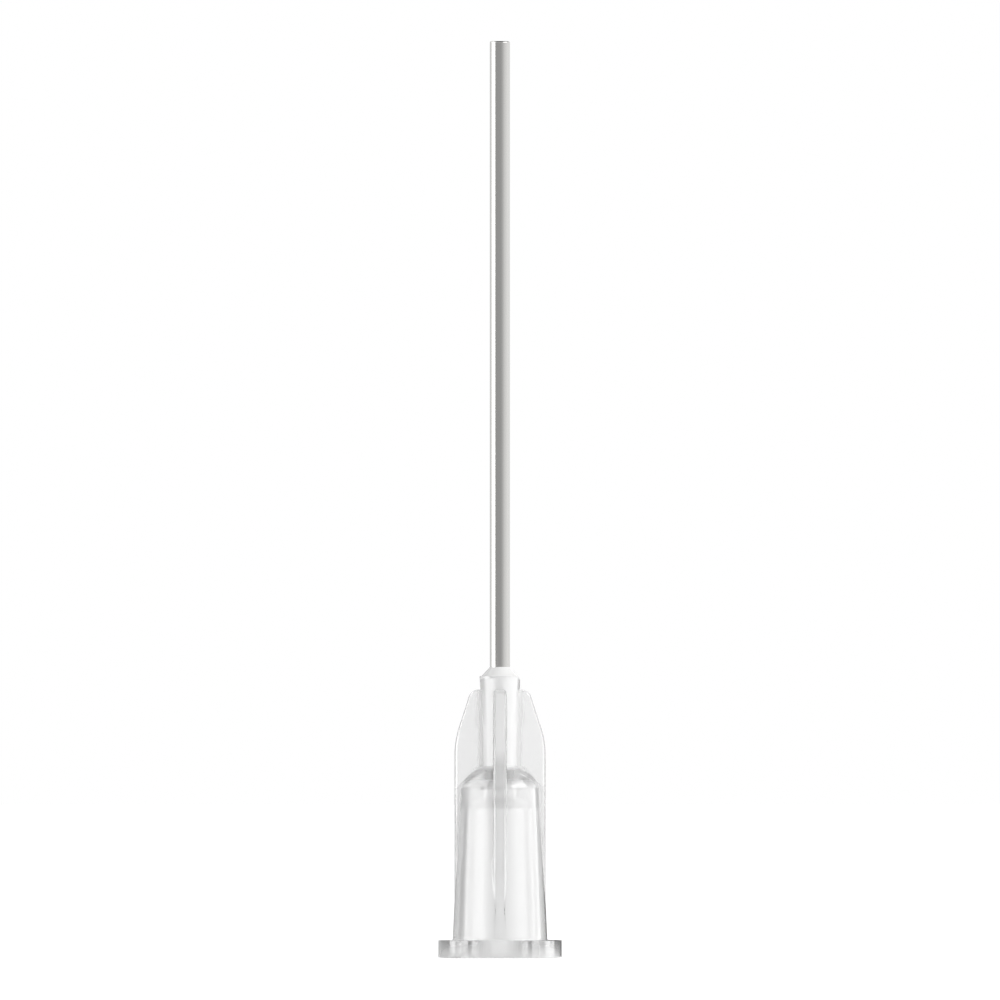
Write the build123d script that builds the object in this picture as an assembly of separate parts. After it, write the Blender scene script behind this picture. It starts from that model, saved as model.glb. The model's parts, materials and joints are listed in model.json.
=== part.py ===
from build123d import *
import os
from math import radians, tan

# A blunt steel suction cannula bonded into a moulded hub with a female luer socket.
# It stands on the underside of the hub's flange, with its axis on +Z and the two lugs along X.

# Steel tube, 18 gauge with a thin wall
tube_diameter = 1.27
tube_wall = 0.16
free_length = 40.0            # tube that shows, from the hub's rim to the tip
tip_outer_radius = 0.1        # rounded so that the tip doesn't cut
tip_inner_radius = 0.03

# Luer socket, the cone that pushes onto a syringe or a suction line
socket_mouth_diameter = 4.3
socket_taper = 0.06           # loss of diameter per length
socket_depth = 9.4
socket_lead_in = 0.15         # chamfer at the mouth

# Funnel in the socket's ceiling, and the short throat from there to the lower end of the tube
funnel_rise = 0.73
throat_mouth_diameter = 1.2
throat_length = 0.62

# Flange with two lugs for a luer lock collar, cut flat in front and behind
flange_thickness = 1.1
lug_reach = 0.91              # from the foot of the barrel to the tip of a lug
flat_margin = 0.03            # from the foot of the barrel to each flat
flange_edge_radius = 0.06

# Barrel around the socket
barrel_wall = 0.825           # at the mouth
barrel_draft = 2.6            # degrees
barrel_foot_radius = 0.1
crown_length = 1.3            # barrel above the top of the socket's cone

# Domed shoulder between the barrel and the neck
shoulder_rise = 1.4
shoulder_bulge = 0.2          # height of the dome's arc over its chord

# Neck that holds the tube
neck_wall = 0.5               # around the tube at the neck's foot
neck_length = 5.65
neck_draft = 0.95             # degrees, growing wider upwards
bond_gap = 0.015              # around the tube in its bore

# Glue well at the top of the neck, with a plain collar round it above the fins
collar_length = 0.85
rim_width = 0.125             # land left round the mouth of the well
well_mouth_diameter = 2.33
well_foot_diameter = 1.6
well_depth = 2.2
bead_height = 0.57            # glue that climbs the tube above the rim

# Four grip fins that run down the neck, over the shoulder and into the barrel
fin_count = 4
fin_thickness = 0.88
fin_shelf = 0.6               # from the neck to the corner of the fin's top
fin_overhang = 0.325          # from the top of the barrel to the fin's outer edge
fin_lean = 17.8               # degrees from upright, below the top corner
fin_corner_radius = 0.7
fin_hip_radius = 5.6          # where the leaning edge turns upright
fin_edge_radius = 0.2

# Radii from the axis
tube_radius = tube_diameter / 2
lumen_radius = tube_radius - tube_wall
bore_radius = tube_radius + bond_gap
socket_mouth = socket_mouth_diameter / 2
well_mouth = well_mouth_diameter / 2
well_foot = well_foot_diameter / 2
barrel_foot = socket_mouth + barrel_wall
flange_radius = barrel_foot + lug_reach
flat_distance = barrel_foot + flat_margin
neck_foot = bore_radius + neck_wall
rim_radius = well_mouth + rim_width

# Heights above the flange's underside
barrel_top_height = socket_depth + crown_length
neck_foot_height = barrel_top_height + shoulder_rise
rim_height = neck_foot_height + neck_length
collar_height = rim_height - collar_length
well_foot_height = rim_height - well_depth
throat_height = socket_depth + funnel_rise
tube_seat_height = throat_height + throat_length
tip_height = rim_height + free_length

# Radii where the drafted sides end
barrel_length = barrel_top_height - flange_thickness
barrel_top = barrel_foot - barrel_length * tan(radians(barrel_draft))
collar_foot = neck_foot + (collar_height - neck_foot_height) * tan(radians(neck_draft))


def turned(section):
    """Sweep a flat section, drawn as radius and height, round the axis."""
    return revolve(Plane.XZ * section, Axis.Z)


def corner(section, radius, height):
    """The corner of a flat section nearest to a radius and height."""
    return section.vertices().sort_by_distance(Vector(radius, height))[0]


def outer_form():
    """Flange, barrel, shoulder and neck in one turned solid."""
    outline = Curve() + [
        Polyline(
            (0, 0),
            (flange_radius, 0),
            (flange_radius, flange_thickness),
            (barrel_foot, flange_thickness),
            (barrel_top, barrel_top_height),
        ),
        SagittaArc((barrel_top, barrel_top_height), (neck_foot, neck_foot_height), -shoulder_bulge),
        Polyline(
            (neck_foot, neck_foot_height),
            (collar_foot, collar_height),
            (rim_radius, rim_height),
            (0, rim_height),
            (0, 0),
        ),
    ]
    section = make_face(outline)
    section = fillet(corner(section, barrel_foot, flange_thickness), barrel_foot_radius)
    return turned(section)


def flat_cutters():
    """Two blocks that cut the flange flat in front and behind, and leave the lugs at its sides."""
    height = flange_thickness + barrel_foot_radius
    block = Box(
        2 * flange_radius,
        flange_radius,
        height,
        align=(Align.CENTER, Align.MIN, Align.MIN),
    )
    front = Pos(0, flat_distance, 0) * block
    return [front, front.rotate(Axis.Z, 180)]


def fin():
    """One grip fin along +X, with its root inside the neck and the barrel."""
    top_corner = collar_foot + fin_shelf
    outer_edge = barrel_top + fin_overhang
    hip_height = collar_height - (outer_edge - top_corner) / tan(radians(fin_lean))
    outline = Polyline(
        (0, flange_thickness),
        (outer_edge, flange_thickness),
        (outer_edge, hip_height),
        (top_corner, collar_height),
        (0, collar_height),
        close=True,
    )
    section = make_face(outline)
    section = fillet(corner(section, outer_edge, hip_height), fin_hip_radius)
    section = fillet(corner(section, top_corner, collar_height), fin_corner_radius)
    plate = extrude(Plane.XZ * section, fin_thickness / 2, both=True)
    edges = plate.edges()
    root = edges.group_by(Axis.X)[0]
    foot = edges.group_by(Axis.Z)[0]
    return fillet(edges - root - foot - edges.filter_by(Axis.Y), fin_edge_radius)


def socket_radius(height):
    """Radius of the luer cone at a height above the flange's underside."""
    return socket_mouth - socket_taper / 2 * height


def hollow():
    """The socket, funnel, throat, tube bore and glue well as one turned solid."""
    section = make_face(
        Polyline(
            (0, 0),
            (socket_mouth + socket_lead_in, 0),
            (socket_radius(socket_lead_in), socket_lead_in),
            (socket_radius(socket_depth), socket_depth),
            (throat_mouth_diameter / 2, throat_height),
            (lumen_radius, tube_seat_height),
            (bore_radius, tube_seat_height),
            (bore_radius, well_foot_height),
            (well_foot, well_foot_height),
            (well_mouth, rim_height),
            (0, rim_height),
            close=True,
        )
    )
    return turned(section)


def hub():
    """The moulded hub."""
    body = outer_form() - flat_cutters()
    outline = body.edges().group_by(Axis.Z)[0]
    body = fillet(outline, flange_edge_radius)
    for index in range(fin_count):
        body += fin().rotate(Axis.Z, index * 360 / fin_count)
    return body - hollow()


def cannula_tube():
    """The steel tube, seated on the step above the throat."""
    section = make_face(
        Polyline(
            (lumen_radius, tube_seat_height),
            (tube_radius, tube_seat_height),
            (tube_radius, tip_height),
            (lumen_radius, tip_height),
            close=True,
        )
    )
    section = fillet(corner(section, tube_radius, tip_height), tip_outer_radius)
    section = fillet(corner(section, lumen_radius, tip_height), tip_inner_radius)
    return turned(section)


def adhesive_bead():
    """The glue that fills the well and climbs the tube in a cone."""
    section = make_face(
        Polyline(
            (tube_radius, well_foot_height),
            (well_foot, well_foot_height),
            (well_mouth, rim_height),
            (tube_radius, rim_height + bead_height),
            close=True,
        )
    )
    return turned(section)


def main():
    os.makedirs("parts", exist_ok=True)
    export_step(hub(), "parts/hub.step")
    export_step(cannula_tube(), "parts/cannula_tube.step")
    export_step(adhesive_bead(), "parts/adhesive_bead.step")


main()
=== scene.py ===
import bmesh
import bpy
import json
import math
import numpy as np
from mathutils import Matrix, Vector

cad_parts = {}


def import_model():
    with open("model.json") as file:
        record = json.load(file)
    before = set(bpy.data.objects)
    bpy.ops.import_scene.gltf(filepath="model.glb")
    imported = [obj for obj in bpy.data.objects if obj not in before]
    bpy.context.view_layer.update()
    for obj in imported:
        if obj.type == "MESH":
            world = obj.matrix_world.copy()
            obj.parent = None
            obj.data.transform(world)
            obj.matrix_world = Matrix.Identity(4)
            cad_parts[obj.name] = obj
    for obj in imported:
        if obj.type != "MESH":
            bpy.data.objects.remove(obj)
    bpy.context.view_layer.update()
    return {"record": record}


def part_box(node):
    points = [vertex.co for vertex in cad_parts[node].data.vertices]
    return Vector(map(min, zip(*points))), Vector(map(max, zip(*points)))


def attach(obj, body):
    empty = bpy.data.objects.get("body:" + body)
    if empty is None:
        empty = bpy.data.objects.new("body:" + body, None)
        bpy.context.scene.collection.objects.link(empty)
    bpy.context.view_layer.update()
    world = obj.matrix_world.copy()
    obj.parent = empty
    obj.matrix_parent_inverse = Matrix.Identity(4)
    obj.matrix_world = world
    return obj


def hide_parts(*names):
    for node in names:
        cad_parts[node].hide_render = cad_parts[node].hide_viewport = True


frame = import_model()

MM = 0.001

# Sizes in millimetres that the frame's boxes give
hub_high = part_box("hub")[1] / MM
tube_low, tube_high = (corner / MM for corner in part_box("cannula_tube"))
bead_low, bead_high = (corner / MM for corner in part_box("adhesive_bead"))
FLANGE_RADIUS = hub_high.x
FLAT_DISTANCE = hub_high.y
RIM_HEIGHT = hub_high.z
TUBE_RADIUS = tube_high.x
SEAT_HEIGHT = tube_low.z
TIP_HEIGHT = tube_high.z
WELL_MOUTH = bead_high.x
WELL_FOOT_HEIGHT = bead_low.z
BEAD_TOP = bead_high.z

# Sizes that the boxes don't give, as in the solids: lengths in millimetres, angles in radians,
# and the taper as the socket's loss of radius per length
FLANGE_THICKNESS = 1.1
FLANGE_EDGE = 0.06
BARREL_FOOT = 2.975
BARREL_TOE = 0.1
BARREL_TOP_HEIGHT = 10.7
BARREL_DRAFT = math.radians(2.6)
NECK_FOOT = 1.15
NECK_FOOT_HEIGHT = 12.1
SHOULDER_BULGE = 0.2
COLLAR_HEIGHT = 16.9
NECK_DRAFT = math.radians(0.95)
RIM_WIDTH = 0.125
WELL_FOOT = 0.8
BORE_RADIUS = 0.65
LUMEN_RADIUS = frame["record"]["mounts"][1]["dims"]["r_mm"]
THROAT_MOUTH = 0.6
THROAT_HEIGHT = 10.13
SOCKET_DEPTH = 9.4
SOCKET_MOUTH = 2.15
SOCKET_TAPER = 0.03
SOCKET_LEAD_IN = 0.15
FIN_HALF = 0.44
FIN_EDGE = 0.2
FIN_LEAN = math.radians(17.8)
FIN_SHELF = 0.6
FIN_OVERHANG = 0.325
FIN_CORNER = 0.7
FIN_HIP = 5.6
TIP_OUTER_EDGE = 0.1
TIP_INNER_EDGE = 0.03

# Rounding of the rim's outer edge in millimetres, which the mesh adds
RIM_EDGE = 0.03

# Radii in millimetres that follow from the sizes above
RIM_RADIUS = WELL_MOUTH + RIM_WIDTH
BARREL_TOP = BARREL_FOOT - (BARREL_TOP_HEIGHT - FLANGE_THICKNESS) * math.tan(BARREL_DRAFT)
COLLAR_FOOT = NECK_FOOT + (COLLAR_HEIGHT - NECK_FOOT_HEIGHT) * math.tan(NECK_DRAFT)
FIN_REACH = BARREL_TOP + FIN_OVERHANG

# Mesh density: spacing of rows in millimetres, steps along arcs and columns round the axis
ROW_STEP = 0.2
BORE_ROW_STEP = 0.5
THROAT_ROW_STEP = 0.3
ROUND_STEPS = 6
HIP_STEPS = 12
CORNER_STEPS = 18
SHOULDER_STEPS = 14
RIM_STEPS = 3
TIP_OUTER_STEPS = 8
TIP_INNER_STEPS = 4
FIN_TIP_STEPS = 3
FIN_SIDE_STEPS = 4
SECTOR_COLUMNS = 12
TUBE_SEGMENTS = 160

# Gaps in millimetres that keep two rows apart
CORNER_ROW_GAP = 0.02
CEILING_ROW_GAP = 0.04

# Points tried along a fin to find where its rounding ends, and the share of the rounding's
# depth that counts as its end
TRIAL_POINTS = 200
NEARLY_ALL = 0.999

# A number next to nothing
TINY = 1e-6

# Lengths in metres below which points are merged and edges dropped
MERGE_DISTANCE = 2e-7
SHORTEST_EDGE = 1e-8

# Edges that turn more than this stay sharp
SHARP_ANGLE = math.radians(30)

# Share of the light that each part of the plastic passes without scattering it
BARREL_CLEARNESS = 0.5
NECK_CLEARNESS = 0.35
FLANGE_CLEARNESS = 0.4
FIN_CLEARNESS = 0.85
STRIP_FOOT_CLEARNESS = 0.55
STRIP_TOP_CLEARNESS = 0.35
SOCKET_CLEARNESS = 0.85
FUNNEL_CLEARNESS = 0.2

# Lengths in millimetres over which one clearness fades into the next
CROWN_FADE = 0.4
STRIP_FADE = 1
FIN_FADE = 0.25

# Margins in millimetres that tell the body from the fins, and the socket from the outside
FIN_MARGIN = 0.05
SOCKET_MARGIN = 0.01
WALL_MARGIN = 0.1

# The floor's side in metres, and what its own white adds, so that it is as white as the
# background where no shadow falls
FLOOR_SIZE = 3.0
FLOOR_LIFT = 0.4

# Grey levels of the world by the sine of the elevation, as gloss shows them
OVERHEAD_STOPS = [(0, 1.0), (0.35, 1.0), (0.55, 0.5), (0.75, 0.15), (1, 0.05)]

# The world's light on the object: its level at the horizon, and what right and up add
SOFT_LEVEL = 1.05
SOFT_RIGHT = 0.1
SOFT_UP = -0.3

# Curved cards round the object. Their stops give brightness by bearing, in degrees from the
# camera's side and positive to the right. Their outlines have rows of distance from the axis and
# height, both in metres, and the share of the brightness that the row shows.
CARD_LIFT = 2e-5
LOW_DISTANCE = 0.025
BEHIND_DISTANCE = 0.04
FAR_DISTANCE = 0.3

# Degrees between the columns of a card
CARD_STEP = 2

# Far round the object and on the floor out to there: what the tube mirrors
TALL_OUTLINE = [(0.026, CARD_LIFT, 1), (FAR_DISTANCE, CARD_LIFT, 1), (FAR_DISTANCE, 0.14, 1)]
TALL_STOPS = [
    (-180, 0.55),
    (-150, 0.5),
    (-135, 1.0),
    (-101, 1.2),
    (-99, 3.5),
    (-60, 3.5),
    (-58, 0.42),
    (10, 0.46),
    (29, 0.6),
    (53, 0.87),
    (97, 1.1),
    (180, 1.0),
]

# Above the tall card at the right and at the left: what the fins' leaning edges mirror
HIGH_RIGHT_OUTLINE = [(FAR_DISTANCE, 0.15, 1), (FAR_DISTANCE, 0.36, 1)]
HIGH_RIGHT_STOPS = [(40, 3.0), (100, 3.0)]
HIGH_LEFT_OUTLINE = [(FAR_DISTANCE, 0.15, 1), (FAR_DISTANCE, 0.3, 1), (FAR_DISTANCE, 0.5, 0.15)]
HIGH_LEFT_STOPS = [(-135, 0.5), (-118, 2.6), (-85, 2.6), (-50, 1.0)]

# Close round the hub and lower than its rim: what the hub mirrors
LOW_OUTLINE = [(LOW_DISTANCE, CARD_LIFT, 1), (LOW_DISTANCE, 0.0168, 1)]
LOW_STOPS = [
    (-180, 0.3),
    (-178, 0.45),
    (-105, 0.5),
    (-91, 2.3),
    (-78, 3.4),
    (-44, 3.5),
    (-30, 1.9),
    (-14, 0.4),
    (8, 0.4),
    (26, 1.0),
    (42, 1.7),
    (90, 1.7),
    (112, 2.5),
    (118, 0.0),
    (176, 0.0),
    (180, 0.3),
]

# On the floor, from the flange out to the low card
FLOOR_OUTLINE = [(0.0043, CARD_LIFT, 1), (LOW_DISTANCE, CARD_LIFT, 1)]
FLOOR_STOPS = [
    (-180, 0.3),
    (-178, 0.45),
    (-105, 0.5),
    (-91, 1.2),
    (-44, 1.2),
    (-14, 0.4),
    (8, 0.4),
    (42, 1.2),
    (108, 1.2),
    (118, 0.0),
    (176, 0.0),
    (180, 0.3),
]

# What shows through the plastic, on its card and in the world
BEHIND_OUTLINE = [(BEHIND_DISTANCE, CARD_LIFT, 1), (BEHIND_DISTANCE, 0.03, 1)]
BEHIND_STOPS = [
    (-180, 1.04),
    (-172, 1.04),
    (-165, 1.2),
    (-155, 0.05),
    (-130, 0.05),
    (-119, 1.25),
    (-108, 0.97),
    (-75, 0.97),
    (-60, 1.2),
    (-40, 0.85),
    (12, 0.85),
    (45, 1.0),
    (108, 0.98),
    (119, 1.3),
    (130, 0.05),
    (155, 0.05),
    (165, 1.2),
    (172, 1.04),
    (180, 1.04),
]


def mesh_object(name, points, faces, clearness=None):
    """A smooth-shaded mesh from points in millimetres, with doubled points merged."""
    mesh = bpy.data.meshes.new(name)
    mesh.from_pydata([tuple(p) for p in np.asarray(points) * MM], [], faces)
    if clearness is not None:
        mesh.attributes.new("clearness", "FLOAT", "POINT").data.foreach_set("value", clearness)
    shape = bmesh.new()
    shape.from_mesh(mesh)
    bmesh.ops.remove_doubles(shape, verts=shape.verts, dist=MERGE_DISTANCE)
    bmesh.ops.dissolve_degenerate(shape, edges=shape.edges, dist=SHORTEST_EDGE)
    bmesh.ops.recalc_face_normals(shape, faces=shape.faces)
    shape.to_mesh(mesh)
    shape.free()
    mesh.polygons.foreach_set("use_smooth", [True] * len(mesh.polygons))
    mesh.set_sharp_from_angle(angle=SHARP_ANGLE)
    piece = bpy.data.objects.new(name, mesh)
    bpy.context.scene.collection.objects.link(piece)
    return piece


def grid_faces(rows, columns):
    """Quads of a grid that closes on itself both ways."""
    faces = []
    for row in range(rows):
        after = (row + 1) % rows
        for column in range(columns):
            beside = (column + 1) % columns
            faces.append(
                (
                    row * columns + column,
                    row * columns + beside,
                    after * columns + beside,
                    after * columns + column,
                )
            )
    return faces


def revolved(name, outline):
    """A closed outline of radius and height swept round the axis."""
    angles = np.linspace(0, 2 * math.pi, TUBE_SEGMENTS, endpoint=False)
    points = [(r * math.cos(a), r * math.sin(a), z) for r, z in outline for a in angles]
    return mesh_object(name, points, grid_faces(len(outline), TUBE_SEGMENTS))


def arc(centre, radius, start, end, steps=ROUND_STEPS):
    """Points of radius and height on an arc, with its angles in degrees from outwards to up."""
    angles = np.radians(np.linspace(start, end, steps + 1))
    return [(centre[0] + radius * math.cos(a), centre[1] + radius * math.sin(a)) for a in angles]


def straight(start, end, step=ROW_STEP):
    """Evenly spaced points from start to end, both included."""
    steps = max(1, round(math.dist(start, end) / step))
    return [tuple(p) for p in np.linspace(start, end, steps + 1)]


def fin_outline():
    """Reach and height along a fin's outer edge, from the flange up to the flat of its top."""
    top_corner = COLLAR_FOOT + FIN_SHELF
    hip_height = COLLAR_HEIGHT - (FIN_REACH - top_corner) / math.tan(FIN_LEAN)
    hip_tangent = FIN_HIP * math.tan(FIN_LEAN / 2)
    corner_tangent = FIN_CORNER * math.tan((math.pi / 2 - FIN_LEAN) / 2)
    hip_centre = (FIN_REACH - FIN_HIP, hip_height - hip_tangent)
    corner_centre = (top_corner - corner_tangent, COLLAR_HEIGHT - FIN_CORNER)
    lean = math.degrees(FIN_LEAN)
    hip = arc(hip_centre, FIN_HIP, 0, lean, HIP_STEPS)
    corner = arc(corner_centre, FIN_CORNER, lean, 90, CORNER_STEPS)
    foot = (FIN_REACH, FLANGE_THICKNESS)
    return straight(foot, hip[0])[:-1] + hip[:-1] + straight(hip[-1], corner[0])[:-1] + corner


FIN_LINE = np.array(fin_outline())


def fin_depth(x, z):
    """How far inside a fin's outline each point lies."""
    ends = np.vstack([FIN_LINE, [0, COLLAR_HEIGHT]])
    start, run = ends[:-1], np.diff(ends, axis=0)
    to_point = np.stack([x, np.full_like(x, z)], axis=-1)[:, None, :] - start
    share = np.clip((to_point * run).sum(-1) / (run * run).sum(-1), 0, 1)
    return np.linalg.norm(to_point - share[..., None] * run, axis=-1).min(axis=1)


def half_width(depth):
    """Half the thickness of a fin at a depth inside its outline, with its edges rounded."""
    inside = FIN_EDGE - np.clip(depth, 0, FIN_EDGE)
    return FIN_HALF - FIN_EDGE + np.sqrt(FIN_EDGE**2 - inside**2)


# Columns across half a fin: the flat of its outer edge, the rounding and its side
TIP_COLUMNS = np.linspace(0, 1, FIN_TIP_STEPS + 1)
EDGE_COLUMNS = np.linspace(0, math.pi / 2, ROUND_STEPS + 1)[1:]
SIDE_COLUMNS = np.linspace(0, 1, FIN_SIDE_STEPS + 1)[1:]
TIP_HALF = FIN_HALF - FIN_EDGE


def plain_half(radius, root):
    """Half of where a fin would stand, on a bare circle: from its middle to its root."""
    tip = TIP_HALF * root / FIN_HALF if root < TIP_HALF else TIP_HALF
    across = np.concatenate(
        [
            TIP_COLUMNS * tip,
            tip + (root - tip) * np.sin(EDGE_COLUMNS),
            np.full(len(SIDE_COLUMNS), root),
        ]
    )
    return np.stack([np.sqrt(radius**2 - across**2), across], axis=-1)


def fin_half(radius, z):
    """Half of a fin's section at a height, from the middle of its outer edge to its root."""
    # How far the rounded edge reaches inwards
    reach = np.interp(z, FIN_LINE[:, 1], FIN_LINE[:, 0])
    trial = np.linspace(reach, math.sqrt(radius**2 - FIN_HALF**2) - TINY, TRIAL_POINTS)
    depth = fin_depth(trial, z)
    full_depth = min(FIN_EDGE, depth.max()) * NEARLY_ALL
    edge = reach - trial[np.argmax(depth >= full_depth)]

    # Columns round that edge and along the side to the root, none of them inside the body
    root = float(half_width(depth[-1:])[0])
    root_x = math.sqrt(radius**2 - root**2)
    edge_x = reach - edge * (1 - np.cos(EDGE_COLUMNS))
    side_x = reach - edge + (root_x - reach + edge) * SIDE_COLUMNS
    beyond = np.concatenate([edge_x, side_x])
    across = np.concatenate([TIP_COLUMNS * TIP_HALF, half_width(fin_depth(beyond, z))])
    across[-1] = root
    along = np.concatenate([np.full(len(TIP_COLUMNS), reach), beyond])
    on_body = np.sqrt(np.maximum(radius**2 - across**2, 0))
    return np.stack([np.maximum(along, on_body), across], axis=-1), root


# Columns between two fins as shares of the angle, with one at the corner of the flange's flat
CORNER_ANGLE = math.asin(FLAT_DISTANCE / FLANGE_RADIUS)
ROOT_ANGLE = math.asin(FIN_HALF / FLANGE_RADIUS)
CORNER_SHARE = (CORNER_ANGLE - ROOT_ANGLE) / (math.pi / 2 - 2 * ROOT_ANGLE)
SECTOR_SHARES = np.concatenate(
    [
        np.linspace(0, CORNER_SHARE, SECTOR_COLUMNS + 1)[1:],
        np.linspace(CORNER_SHARE, 1, SECTOR_COLUMNS + 1)[1:-1],
    ]
)


def ring(radius, half, root):
    """All points of one row round the axis, from half a fin's section and the body's radius."""
    start = math.asin(root / radius)
    points = []
    for quadrant in range(4):
        shares = SECTOR_SHARES if quadrant % 2 == 0 else 1 - SECTOR_SHARES[::-1]
        angles = start + shares * (math.pi / 2 - 2 * start)
        sector = radius * np.stack([np.cos(angles), np.sin(angles)], axis=-1)
        local = np.vstack([half, sector, half[:0:-1, ::-1]])
        turn = quadrant * math.pi / 2
        cosine, sine = math.cos(turn), math.sin(turn)
        points.append(local @ np.array([[cosine, sine], [-sine, cosine]]))
    return np.vstack(points)


def flange_ring(inset):
    """A row on the flange's outline of two arcs and two flats, moved inwards by an inset."""
    row = ring(FLANGE_RADIUS, plain_half(FLANGE_RADIUS, FIN_HALF), FIN_HALF)
    across = np.abs(row[:, 1]) / FLANGE_RADIUS
    reach = np.full(len(row), FLANGE_RADIUS - inset)
    flat = across > TINY
    reach[flat] = np.minimum(reach[flat], (FLAT_DISTANCE - inset) / across[flat])
    return row * (reach / FLANGE_RADIUS)[:, None]


def hub_rows():
    """Every row of the hub's surface, from its underside up the outside and down the inside."""
    rows = []

    def add(row, z):
        rows.append(np.column_stack([row, np.full(len(row), z)]))

    def add_plain(radius, z, root=FIN_HALF):
        row = ring(radius, plain_half(radius, root), root)
        row[:, 1] = np.clip(row[:, 1], -FLAT_DISTANCE, FLAT_DISTANCE)
        add(row, z)

    # Flange: underside, rounded lower edge and side
    add(flange_ring(2 * FLANGE_EDGE), 0)
    for out, z in arc((0, FLANGE_EDGE), FLANGE_EDGE, -90, 0):
        add(flange_ring(FLANGE_EDGE - out), z)
    add(flange_ring(0), 2 * FLANGE_EDGE)
    add(flange_ring(0), FLANGE_THICKNESS)

    # Barrel, with the fins growing out of its draft
    foot_height = FLANGE_THICKNESS + BARREL_TOE
    toe = arc((BARREL_FOOT + BARREL_TOE, foot_height), BARREL_TOE, 270, 180)
    for r, z in toe:
        add_plain(r, z)
    foot = (toe[-1][0], foot_height)
    barrel = straight(foot, (BARREL_TOP, BARREL_TOP_HEIGHT))[1:]

    # Shoulder: an arc that stands over its chord by the bulge
    chord = math.dist((BARREL_TOP, BARREL_TOP_HEIGHT), (NECK_FOOT, NECK_FOOT_HEIGHT))
    radius = (chord**2 / 4 + SHOULDER_BULGE**2) / (2 * SHOULDER_BULGE)
    half_turn = math.degrees(math.asin(chord / 2 / radius))
    rise = NECK_FOOT_HEIGHT - BARREL_TOP_HEIGHT
    facing = math.degrees(math.atan2(BARREL_TOP - NECK_FOOT, rise))
    inwards = radius - SHOULDER_BULGE
    centre = (
        (BARREL_TOP + NECK_FOOT) / 2 - inwards * math.cos(math.radians(facing)),
        (BARREL_TOP_HEIGHT + NECK_FOOT_HEIGHT) / 2 - inwards * math.sin(math.radians(facing)),
    )
    shoulder = arc(centre, radius, facing - half_turn, facing + half_turn, SHOULDER_STEPS)[1:]

    # Neck up to the top of the fins, with closer rows where their corners turn
    neck = straight(shoulder[-1], (COLLAR_FOOT, COLLAR_HEIGHT))[1:-1]
    corner_rows = FIN_LINE[-CORNER_STEPS - 1 : -1, 1]
    neck = [p for p in neck if p[1] < corner_rows[0] - CORNER_ROW_GAP]
    slope = math.tan(NECK_DRAFT)
    neck += [(COLLAR_FOOT - (COLLAR_HEIGHT - z) * slope, z) for z in corner_rows]
    neck.append((COLLAR_FOOT, COLLAR_HEIGHT))
    for r, z in barrel + shoulder + neck:
        half, root = fin_half(r, z)
        add(ring(r, half, root), z)

    # Collar and rim, closing over the top of the fins
    rim_centre = (RIM_RADIUS - RIM_EDGE, RIM_HEIGHT - RIM_EDGE)
    rim = arc(rim_centre, RIM_EDGE, 0, 90, RIM_STEPS)
    for r, z in straight((COLLAR_FOOT, COLLAR_HEIGHT), rim[0]) + rim[1:]:
        add_plain(r, z, TIP_HALF)

    # Glue well, bore, seat, throat and socket, with a row close below the socket's ceiling
    socket_wall = SOCKET_MOUTH - SOCKET_TAPER * SOCKET_LEAD_IN
    ceiling = SOCKET_MOUTH - SOCKET_TAPER * SOCKET_DEPTH
    below_ceiling = (ceiling + SOCKET_TAPER * CEILING_ROW_GAP, SOCKET_DEPTH - CEILING_ROW_GAP)
    inside = (
        straight((WELL_MOUTH, RIM_HEIGHT), (WELL_FOOT, WELL_FOOT_HEIGHT), BORE_ROW_STEP)
        + straight((BORE_RADIUS, WELL_FOOT_HEIGHT), (BORE_RADIUS, SEAT_HEIGHT), BORE_ROW_STEP)
        + straight((LUMEN_RADIUS, SEAT_HEIGHT), (THROAT_MOUTH, THROAT_HEIGHT), THROAT_ROW_STEP)
        + [(ceiling, SOCKET_DEPTH)]
        + straight(below_ceiling, (socket_wall, SOCKET_LEAD_IN), BORE_ROW_STEP)
        + [(SOCKET_MOUTH + SOCKET_LEAD_IN, 0)]
    )
    for r, z in inside:
        add_plain(r, z, TIP_HALF * r / RIM_RADIUS)
    return rows


def plastic_clearness(points):
    """How clear the plastic is at each point: milky in the body, clearer on the fins' sides."""
    across = np.hypot(points[:, 0], points[:, 1])
    height = points[:, 2]
    heights = (0, FLANGE_THICKNESS + BARREL_TOE, BARREL_TOP_HEIGHT, NECK_FOOT_HEIGHT, RIM_HEIGHT)
    radii = (FLANGE_RADIUS, BARREL_FOOT, BARREL_TOP, NECK_FOOT, RIM_RADIUS)
    body_radius = np.interp(height, heights, radii)
    crown_heights = (BARREL_TOP_HEIGHT, BARREL_TOP_HEIGHT + CROWN_FADE)
    body = np.interp(height, crown_heights, (BARREL_CLEARNESS, NECK_CLEARNESS))
    body[height < FLANGE_THICKNESS + FLANGE_EDGE] = FLANGE_CLEARNESS

    # Each fin's outer strip is milkier than its sides
    from_middle = np.abs(points[:, :2]).min(axis=1)
    side = np.clip((from_middle - TIP_HALF) / FIN_EDGE, 0, 1)
    strip_heights = (NECK_FOOT_HEIGHT, NECK_FOOT_HEIGHT + STRIP_FADE)
    strip = np.interp(height, strip_heights, (STRIP_FOOT_CLEARNESS, STRIP_TOP_CLEARNESS))
    fin = strip + (FIN_CLEARNESS - strip) * side
    standing_out = np.clip((across - body_radius - FIN_MARGIN) / FIN_FADE, 0, 1)
    clearness = body + (fin - body) * standing_out

    # The socket's wall is clear, and the funnel above it is milky
    in_socket = (across < SOCKET_MOUTH + SOCKET_MARGIN) & (height < SEAT_HEIGHT - SOCKET_MARGIN)
    clearness[in_socket & (across < body_radius - WALL_MARGIN)] = SOCKET_CLEARNESS
    clearness[in_socket & (height > SOCKET_DEPTH - SOCKET_MARGIN)] = FUNNEL_CLEARNESS
    return clearness


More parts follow.
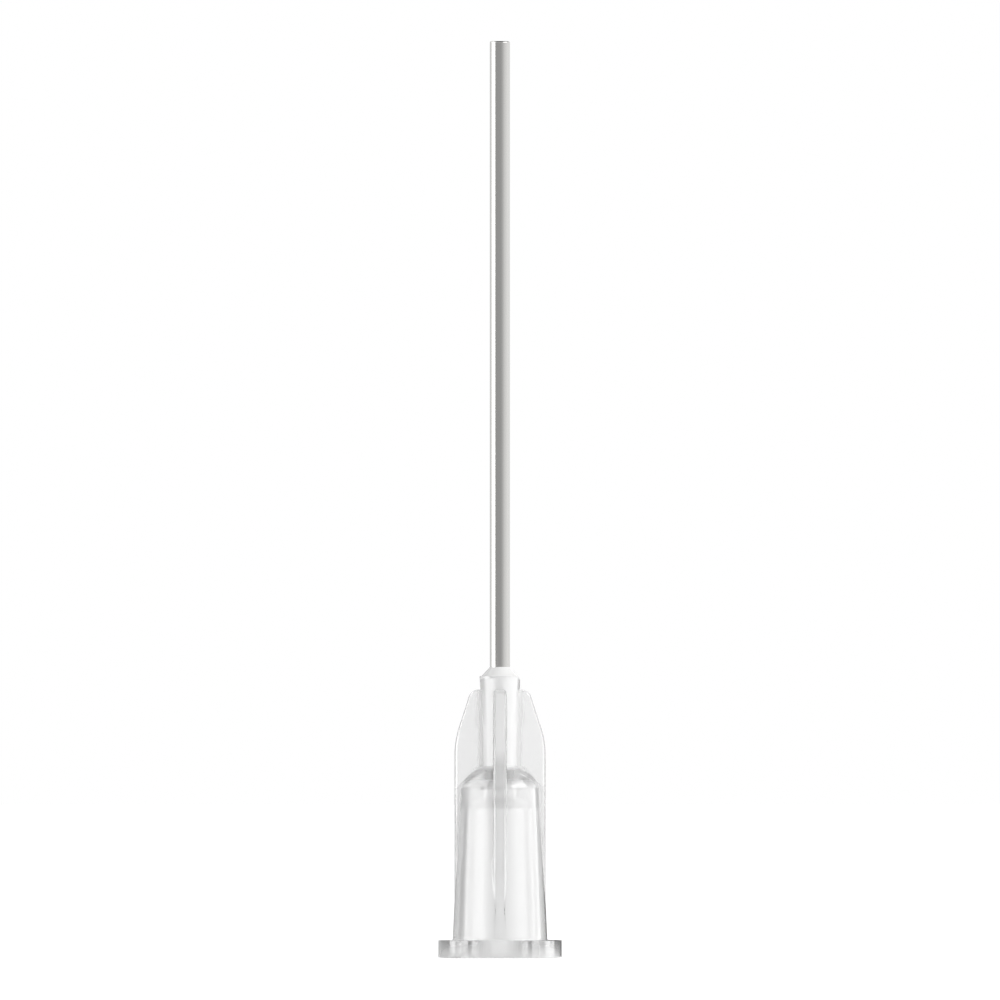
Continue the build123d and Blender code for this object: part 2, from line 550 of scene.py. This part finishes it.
def hub():
    """The moulded hub, one closed skin with the fins, the socket and the glue well."""
    rows = hub_rows()
    points = np.vstack(rows)
    faces = grid_faces(len(rows), len(rows[0]))
    return mesh_object("hub_shell", points, faces, clearness=plastic_clearness(points))


def cannula_tube():
    """The steel tube, with both edges of its blunt tip rounded."""
    outer_centre = (TUBE_RADIUS - TIP_OUTER_EDGE, TIP_HEIGHT - TIP_OUTER_EDGE)
    inner_centre = (LUMEN_RADIUS + TIP_INNER_EDGE, TIP_HEIGHT - TIP_INNER_EDGE)
    outer_edge = arc(outer_centre, TIP_OUTER_EDGE, 0, 90, TIP_OUTER_STEPS)
    inner_edge = arc(inner_centre, TIP_INNER_EDGE, 90, 180, TIP_INNER_STEPS)
    below_tip = TIP_HEIGHT - 2 * TIP_OUTER_EDGE
    side = [(LUMEN_RADIUS, SEAT_HEIGHT), (TUBE_RADIUS, SEAT_HEIGHT), (TUBE_RADIUS, below_tip)]
    return revolved("steel_tube", side + outer_edge + inner_edge + [(LUMEN_RADIUS, below_tip)])


def adhesive_bead():
    """The glue that fills the well and climbs the tube in a cone."""
    outline = [
        (TUBE_RADIUS, WELL_FOOT_HEIGHT),
        (WELL_FOOT, WELL_FOOT_HEIGHT),
        (WELL_MOUTH, RIM_HEIGHT),
        (TUBE_RADIUS, BEAD_TOP),
    ]
    return revolved("glue_bead", outline)


def new_material(name):
    """A node material, its node tree and its shader."""
    material = bpy.data.materials.new(name)
    material.use_nodes = True
    tree = material.node_tree
    return material, tree, tree.nodes["Principled BSDF"]


def noise(tree, scale, stretch=(1, 1, 1), detail=3.0):
    """Noise in the object's own space, with a scale per metre."""
    place = tree.nodes.new("ShaderNodeTexCoord")
    mapping = tree.nodes.new("ShaderNodeMapping")
    mapping.inputs["Scale"].default_value = stretch
    texture = tree.nodes.new("ShaderNodeTexNoise")
    texture.inputs["Scale"].default_value = scale
    texture.inputs["Detail"].default_value = detail
    tree.links.new(place.outputs["Object"], mapping.inputs["Vector"])
    tree.links.new(mapping.outputs["Vector"], texture.inputs["Vector"])
    return texture.outputs["Fac"]


def spread(tree, value, low, high):
    """A value from 0 to 1 mapped to a range."""
    node = tree.nodes.new("ShaderNodeMapRange")
    node.inputs["To Min"].default_value = low
    node.inputs["To Max"].default_value = high
    tree.links.new(value, node.inputs["Value"])
    return node.outputs["Result"]


def math_node(tree, operation, first, second):
    """The result of an operation on two values, each a socket or a number."""
    node = tree.nodes.new("ShaderNodeMath")
    node.operation = operation
    for socket, value in zip(node.inputs, (first, second)):
        if isinstance(value, (int, float)):
            socket.default_value = value
        else:
            tree.links.new(value, socket)
    return node.outputs[0]


def bump(tree, shader, height, distance, strength):
    """Fine relief on a shader, with its depth in metres."""
    node = tree.nodes.new("ShaderNodeBump")
    node.inputs["Distance"].default_value = distance
    node.inputs["Strength"].default_value = strength
    tree.links.new(height, node.inputs["Height"])
    tree.links.new(node.outputs["Normal"], shader.inputs["Normal"])


def polypropylene():
    """Natural moulded plastic, as clear as the mesh's clearness says and a little hazy inside."""
    material, tree, shader = new_material("natural_polypropylene")
    cloud = noise(tree, scale=900, detail=2)
    clearness = tree.nodes.new("ShaderNodeAttribute")
    clearness.attribute_name = "clearness"
    shader.inputs["Base Color"].default_value = (0.985, 0.985, 0.985, 1)
    shader.inputs["IOR"].default_value = 1.49
    shader.inputs["Coat Weight"].default_value = 1
    shader.inputs["Coat IOR"].default_value = 1.6
    shader.inputs["Coat Roughness"].default_value = 0.08
    tree.links.new(clearness.outputs["Fac"], shader.inputs["Transmission Weight"])
    tree.links.new(spread(tree, cloud, low=0.06, high=0.1), shader.inputs["Roughness"])
    haze = tree.nodes.new("ShaderNodeVolumeAbsorption")
    haze.inputs["Color"].default_value = (0.5, 0.5, 0.5, 1)
    haze.inputs["Density"].default_value = 90
    tree.links.new(haze.outputs["Volume"], tree.nodes["Material Output"].inputs["Volume"])
    return material


def steel():
    """Bright drawn stainless steel, with fine lines along the tube."""
    material, tree, shader = new_material("drawn_stainless_steel")
    lines = noise(tree, scale=9000, stretch=(1, 1, 0.01))
    shader.inputs["Base Color"].default_value = (0.64, 0.635, 0.62, 1)
    shader.inputs["Metallic"].default_value = 1
    tree.links.new(spread(tree, lines, low=0.08, high=0.14), shader.inputs["Roughness"])
    bump(tree, shader, lines, distance=1e-6, strength=0.1)
    return material


def adhesive():
    """Cured milky adhesive that lets a little light through."""
    material, tree, shader = new_material("cured_adhesive")
    cloud = noise(tree, scale=2500)
    shader.inputs["Base Color"].default_value = (0.97, 0.97, 0.965, 1)
    shader.inputs["IOR"].default_value = 1.5
    shader.inputs["Transmission Weight"].default_value = 0.15
    tree.links.new(spread(tree, cloud, low=0.08, high=0.18), shader.inputs["Roughness"])
    return material


def dress(piece, material, node):
    """Give a piece its finish and let it stand for its CAD node."""
    piece.data.materials.append(material)
    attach(piece, "root")
    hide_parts(node)


def floor():
    """A plain white floor that keeps the object's shadow."""
    bpy.ops.mesh.primitive_plane_add(size=FLOOR_SIZE, location=(0, 0, 0))
    plane = bpy.context.object
    plane.name = "floor"
    material, tree, shader = new_material("white_floor")
    shader.inputs["Base Color"].default_value = (0.8, 0.8, 0.8, 1)
    shader.inputs["Roughness"].default_value = 1
    shader.inputs["Specular IOR Level"].default_value = 0
    shader.inputs["Emission Color"].default_value = (1, 1, 1, 1)
    path = tree.nodes.new("ShaderNodeLightPath")
    glossy, refracted = path.outputs["Is Glossy Ray"], path.outputs["Is Transmission Ray"]
    seen = math_node(tree, "MAXIMUM", glossy, refracted)
    seen = math_node(tree, "MAXIMUM", seen, path.outputs["Is Camera Ray"])
    lift = math_node(tree, "MULTIPLY", seen, FLOOR_LIFT)
    tree.links.new(lift, shader.inputs["Emission Strength"])
    plane.data.materials.append(material)


def mix_colour(tree, share, first, second):
    """Mix two colours, each a socket or a grey level."""
    node = tree.nodes.new("ShaderNodeMix")
    node.data_type = "RGBA"
    tree.links.new(share, node.inputs["Factor"])
    for socket, value in ((node.inputs["A"], first), (node.inputs["B"], second)):
        if isinstance(value, (int, float)):
            socket.default_value = (value, value, value, 1)
        else:
            tree.links.new(value, socket)
    return node.outputs["Result"]


def grey_ramp(tree, value, stops):
    """A grey level that follows stops of place and level."""
    ramp = tree.nodes.new("ShaderNodeValToRGB")
    elements = ramp.color_ramp.elements
    elements.remove(elements[1])
    elements[0].position = stops[0][0]
    elements[0].color = (*[stops[0][1]] * 3, 1)
    for place, level in stops[1:]:
        element = elements.new(place)
        element.color = (level, level, level, 1)
    tree.links.new(value, ramp.inputs["Fac"])
    return ramp.outputs["Color"]


def dimmed(tree, colour, share):
    """One colour multiplied by another."""
    node = tree.nodes.new("ShaderNodeMix")
    node.data_type = "RGBA"
    node.blend_type = "MULTIPLY"
    node.inputs["Factor"].default_value = 1
    tree.links.new(colour, node.inputs["A"])
    tree.links.new(share, node.inputs["B"])
    return node.outputs["Result"]


def world():
    """A white background, soft light, and a graded surround for gloss and for the plastic."""
    studio = bpy.data.worlds.new("studio")
    bpy.context.scene.world = studio
    studio.use_nodes = True
    tree = studio.node_tree
    background = tree.nodes["Background"]
    place = tree.nodes.new("ShaderNodeTexCoord")
    parts = tree.nodes.new("ShaderNodeSeparateXYZ")
    tree.links.new(place.outputs["Generated"], parts.inputs[0])
    front = math_node(tree, "MULTIPLY", parts.outputs["Y"], -1)
    bearing = math_node(tree, "ARCTAN2", parts.outputs["X"], front)
    turn = math_node(tree, "ADD", math_node(tree, "DIVIDE", bearing, 2 * math.pi), 0.5)
    height = math_node(tree, "MAXIMUM", parts.outputs["Z"], 0)

    overhead = grey_ramp(tree, height, OVERHEAD_STOPS)
    refracted_stops = [(degrees / 360 + 0.5, level) for degrees, level in BEHIND_STOPS]
    refracted = dimmed(tree, grey_ramp(tree, turn, refracted_stops), overhead)
    sideways = math_node(tree, "MULTIPLY", parts.outputs["X"], SOFT_RIGHT)
    upwards = math_node(tree, "MULTIPLY", height, SOFT_UP)
    soft = math_node(tree, "ADD", math_node(tree, "ADD", sideways, upwards), SOFT_LEVEL)

    path = tree.nodes.new("ShaderNodeLightPath")
    colour = mix_colour(tree, path.outputs["Is Diffuse Ray"], overhead, soft)
    colour = mix_colour(tree, path.outputs["Is Transmission Ray"], colour, refracted)
    colour = mix_colour(tree, path.outputs["Is Camera Ray"], colour, 1.0)
    tree.links.new(colour, background.inputs["Color"])
    background.inputs["Strength"].default_value = 1


def key_light():
    """One soft panel, front right and a little above."""
    panel = bpy.data.lights.new("key_panel", "AREA")
    panel.shape = "RECTANGLE"
    panel.size = 0.25
    panel.size_y = 0.35
    panel.energy = 1.05
    lamp = bpy.data.objects.new("key_panel", panel)
    bpy.context.scene.collection.objects.link(lamp)
    lamp.location = (0.34, -0.2, 0.06)
    lamp.rotation_euler = (math.radians(83), 0, math.radians(60))
    lamp.visible_glossy = False


def card(name, outline, stops, seen_through=False):
    """A curved card that shows only in reflections, or only through the plastic."""
    first, last = stops[0][0], stops[-1][0]
    columns = round((last - first) / CARD_STEP) + 1
    bearings = np.linspace(first, last, columns)
    levels = np.interp(bearings, *zip(*stops))
    turns = np.radians(bearings)
    corners = []
    glow = []
    for distance, height, share in outline:
        corners += [(distance * math.sin(t), -distance * math.cos(t), height) for t in turns]
        glow.append(levels * share)
    faces = []
    for row in range(len(outline) - 1):
        start = row * columns
        for i in range(start, start + columns - 1):
            faces.append((i, i + 1, columns + i + 1, columns + i))
    mesh = bpy.data.meshes.new(name)
    mesh.from_pydata(corners, [], faces)
    mesh.attributes.new("level", "FLOAT", "POINT").data.foreach_set("value", np.concatenate(glow))

    material, tree, shader = new_material(name)
    level = tree.nodes.new("ShaderNodeAttribute")
    level.attribute_name = "level"
    shader.inputs["Base Color"].default_value = (0, 0, 0, 1)
    shader.inputs["Specular IOR Level"].default_value = 0
    shader.inputs["Emission Color"].default_value = (1, 1, 1, 1)
    tree.links.new(level.outputs["Fac"], shader.inputs["Emission Strength"])
    mesh.materials.append(material)

    piece = bpy.data.objects.new(name, mesh)
    bpy.context.scene.collection.objects.link(piece)
    piece.visible_camera = False
    piece.visible_diffuse = False
    piece.visible_glossy = not seen_through
    piece.visible_transmission = seen_through
    piece.visible_volume_scatter = False
    piece.visible_shadow = False


def camera():
    """A long lens, level with the middle of the picture."""
    picture_width = 63.0 * MM
    height_of_middle = 28.84 * MM
    distance = 3.0
    lens = bpy.data.cameras.new("camera")
    lens.sensor_width = 36
    lens.lens = lens.sensor_width * distance / picture_width
    lens.clip_start = 0.1
    lens.clip_end = 10
    view = bpy.data.objects.new("camera", lens)
    bpy.context.scene.collection.objects.link(view)
    view.location = (0, -distance, height_of_middle)
    view.rotation_euler = (math.pi / 2, 0, 0)
    bpy.context.scene.camera = view


dress(hub(), polypropylene(), "hub")
dress(cannula_tube(), steel(), "cannula_tube")
dress(adhesive_bead(), adhesive(), "adhesive_bead")

floor()
world()
key_light()
card("tall_reflector", TALL_OUTLINE, TALL_STOPS)
card("high_reflector_right", HIGH_RIGHT_OUTLINE, HIGH_RIGHT_STOPS)
card("high_reflector_left", HIGH_LEFT_OUTLINE, HIGH_LEFT_STOPS)
card("low_reflector", LOW_OUTLINE, LOW_STOPS)
card("floor_reflector", FLOOR_OUTLINE, FLOOR_STOPS)
card("behind_card", BEHIND_OUTLINE, BEHIND_STOPS, seen_through=True)
camera()
bpy.context.scene.view_settings.view_transform = "Standard"
